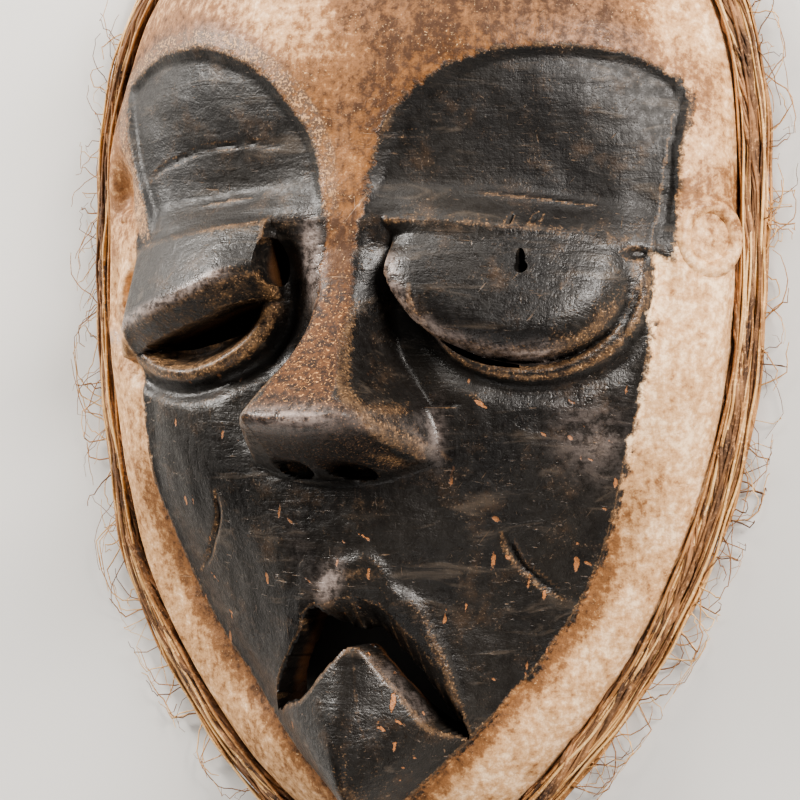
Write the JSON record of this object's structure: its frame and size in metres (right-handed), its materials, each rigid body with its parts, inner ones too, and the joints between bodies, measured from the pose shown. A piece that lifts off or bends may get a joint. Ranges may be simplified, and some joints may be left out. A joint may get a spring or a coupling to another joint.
{
  "type": "carved wooden face mask",
  "caption": "Hollow carved wooden face mask with hooded eyes, wedge nose, chevron mouth and fibre-bound rim, lying face up.",
  "frame": {"origin": "on the plane of the back rim, midway between the sides and midway between chin and crown of the whole object", "axes": "+X to the mask's own left side, +Y from chin to crown, +Z out of the face; the mask lies on its rim, face up"},
  "size_m": [0.2124, 0.3134, 0.0871],
  "materials": {
    "wood": "blackened face zone, half-gloss from handling; bare brown and pale clay-rubbed wood at brow, nose ridge and border",
    "fibre_cord": "rough twisted bast fibre, matte",
    "raffia": "dry raffia strands, matte with a slight sheen"
  },
  "bodies": {
    "root": {"carved_mask": "wood", "rim_cord": "fibre_cord", "raffia_binding": "raffia"}
  },
  "joints": []
}
